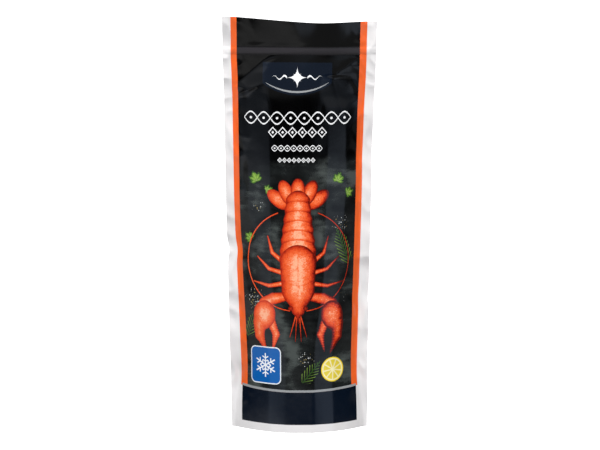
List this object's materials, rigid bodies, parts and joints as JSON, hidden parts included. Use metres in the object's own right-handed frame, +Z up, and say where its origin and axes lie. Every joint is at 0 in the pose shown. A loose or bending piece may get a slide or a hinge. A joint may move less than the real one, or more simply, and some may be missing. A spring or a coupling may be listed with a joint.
{
  "type": "stand-up film food pouch",
  "caption": "Tall stand-up film pouch for frozen seafood: bowed front and back, flat welded sides, a welded band under the header, and an opened foot.",
  "frame": {"origin": "middle of the foot, on the surface the pouch stands on", "axes": "+Z up along the pouch, -Y out of the printed front, +X to the right of the front"},
  "size_m": [0.1356, 0.0528, 0.3684],
  "materials": {
    "printed_film": "thin satin-gloss laminate film, printed near black with white edges, orange side stripes and a dark blue foot band"
  },
  "bodies": {
    "root": {"pouch": "printed_film"}
  },
  "joints": []
}
